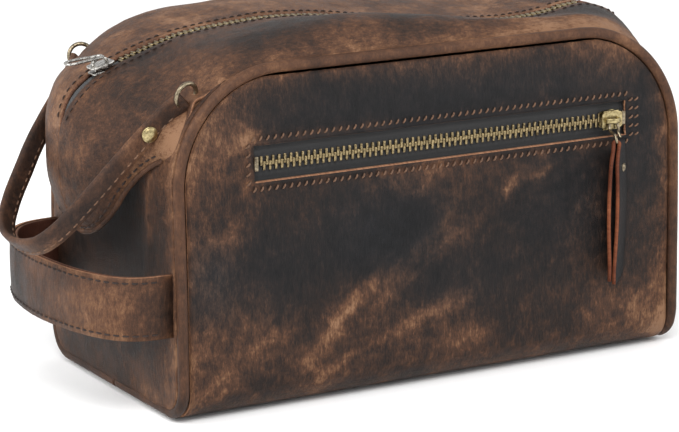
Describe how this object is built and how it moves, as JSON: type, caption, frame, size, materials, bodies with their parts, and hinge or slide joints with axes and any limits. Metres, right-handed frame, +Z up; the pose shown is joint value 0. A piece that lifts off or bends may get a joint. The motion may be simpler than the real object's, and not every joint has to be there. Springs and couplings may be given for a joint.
{
  "type": "shaving kit bag",
  "caption": "Boxy leather toiletry bag with a zipped crowned top, a zipped front pocket, a wide side handle and a swinging hanging loop.",
  "frame": {"origin": "under the middle of the bag, on the surface it stands on", "axes": "+X to the right along the front, front faces -Y, +Z up"},
  "size_m": [0.3238, 0.1358, 0.16],
  "materials": {
    "body_wrap": "waxed pull-up leather, satin",
    "end_panel_left": "waxed pull-up leather, satin",
    "end_panel_right": "waxed pull-up leather, satin",
    "piping_front": "waxed pull-up leather, satin",
    "piping_back": "waxed pull-up leather, satin",
    "top_panel_front": "waxed pull-up leather, satin",
    "top_panel_back": "waxed pull-up leather, satin",
    "zip_tab_left": "waxed pull-up leather, satin",
    "zip_tab_right": "waxed pull-up leather, satin",
    "main_tape_front": "woven cloth, matt",
    "main_tape_back": "woven cloth, matt",
    "main_teeth_front": "antique brass, worn satin",
    "main_teeth_back": "antique brass, worn satin",
    "main_slider": "antique brass, worn satin",
    "main_pull": "antique brass, worn satin",
    "pocket_tape_upper": "woven cloth, matt",
    "pocket_tape_lower": "woven cloth, matt",
    "pocket_teeth_upper": "antique brass, worn satin",
    "pocket_teeth_lower": "antique brass, worn satin",
    "pocket_stop_left": "antique brass, worn satin",
    "pocket_stop_right": "antique brass, worn satin",
    "pocket_slider": "antique brass, worn satin",
    "pocket_pull_wire": "antique brass, worn satin",
    "pocket_pull_leather": "waxed pull-up leather, satin",
    "pocket_pull_rivet": "antique brass, worn satin",
    "pocket_bag": "woven cloth, matt",
    "lining": "woven cloth, matt",
    "side_handle_outer": "waxed pull-up leather, satin",
    "side_handle_inner": "waxed pull-up leather, satin",
    "loop_strap": "waxed pull-up leather, satin",
    "loop_ring_front": "antique brass, worn satin",
    "loop_ring_back": "antique brass, worn satin",
    "loop_rivet_front": "antique brass, worn satin",
    "loop_rivet_back": "antique brass, worn satin",
    "ring_tab_front": "waxed pull-up leather, satin",
    "ring_tab_back": "waxed pull-up leather, satin"
  },
  "bodies": {
    "bag": {"body_wrap": "body_wrap", "end_panel_left": "end_panel_left", "end_panel_right": "end_panel_right", "piping_front": "piping_front", "piping_back": "piping_back", "zip_tab_left": "zip_tab_left", "zip_tab_right": "zip_tab_right", "pocket_stop_left": "pocket_stop_left", "pocket_stop_right": "pocket_stop_right", "pocket_bag": "pocket_bag", "lining": "lining", "side_handle_outer": "side_handle_outer", "side_handle_inner": "side_handle_inner", "ring_tab_front": "ring_tab_front", "ring_tab_back": "ring_tab_back"},
    "top_front": {"top_panel_front": "top_panel_front", "main_tape_front": "main_tape_front", "main_teeth_front": "main_teeth_front"},
    "top_back": {"top_panel_back": "top_panel_back", "main_tape_back": "main_tape_back", "main_teeth_back": "main_teeth_back"},
    "zip_slider": {"main_slider": "main_slider"},
    "zip_pull": {"main_pull": "main_pull"},
    "pocket_lip_upper": {"pocket_tape_upper": "pocket_tape_upper", "pocket_teeth_upper": "pocket_teeth_upper"},
    "pocket_lip_lower": {"pocket_tape_lower": "pocket_tape_lower", "pocket_teeth_lower": "pocket_teeth_lower"},
    "pocket_zip_slider": {"pocket_slider": "pocket_slider"},
    "pocket_zip_pull": {"pocket_pull_wire": "pocket_pull_wire", "pocket_pull_leather": "pocket_pull_leather", "pocket_pull_rivet": "pocket_pull_rivet"},
    "rings": {"loop_ring_front": "loop_ring_front", "loop_ring_back": "loop_ring_back"},
    "loop": {"loop_strap": "loop_strap", "loop_rivet_front": "loop_rivet_front", "loop_rivet_back": "loop_rivet_back"}
  },
  "joints": [
    {"name": "mouth_front", "type": "hinge", "parent": "bag", "child": "top_front", "pos_m": [0, -0.057, 0.1476], "axis": [1, 0, 0], "range_deg": [0, 95]},
    {"name": "mouth_back", "type": "hinge", "parent": "bag", "child": "top_back", "pos_m": [0, 0.057, 0.1476], "axis": [1, 0, 0], "range_deg": [-95, 0]},
    {"name": "main_zip_slide", "type": "slide", "parent": "bag", "child": "zip_slider", "axis": [0.9998, 0, 0.0218], "range_m": [0, 0.25205]},
    {"name": "main_pull_turn", "type": "hinge", "parent": "zip_slider", "child": "zip_pull", "pos_m": [-0.131, 0, 0.14775], "axis": [0, 1, 0], "range_deg": [0, 150]},
    {"name": "pocket_zip_slide", "type": "slide", "parent": "bag", "child": "pocket_zip_slider", "axis": [-1, 0, 0], "range_m": [0, 0.1715]},
    {"name": "pocket_upper_part", "type": "slide", "parent": "bag", "child": "pocket_lip_upper", "axis": [0, 0, 1], "range_m": [0, 0.0042]},
    {"name": "pocket_lower_part", "type": "slide", "parent": "bag", "child": "pocket_lip_lower", "axis": [0, 0, -1], "range_m": [0, 0.0042]},
    {"name": "pocket_pull_swing", "type": "hinge", "parent": "pocket_zip_slider", "child": "pocket_zip_pull", "pos_m": [0.09, -0.0628, 0.1066], "axis": [-1, 0, 0], "range_deg": [0, 120]},
    {"name": "loop_rings_swing", "type": "hinge", "parent": "bag", "child": "rings", "pos_m": [-0.11247, 0, 0.13362], "axis": [0, 1, 0], "range_deg": [0, 45]},
    {"name": "loop_swing", "type": "hinge", "parent": "rings", "child": "loop", "pos_m": [-0.11647, 0, 0.13754], "axis": [0, 1, 0], "range_deg": [0, 95]}
  ],
  "couplings": [
    {"joint": "mouth_back", "follows": "mouth_front", "ratio": -1},
    {"joint": "main_zip_slide", "follows": "mouth_front", "m_per_rad": 0.152},
    {"joint": "pocket_upper_part", "follows": "pocket_zip_slide", "ratio": 0.02449},
    {"joint": "pocket_lower_part", "follows": "pocket_zip_slide", "ratio": 0.02449}
  ]
}
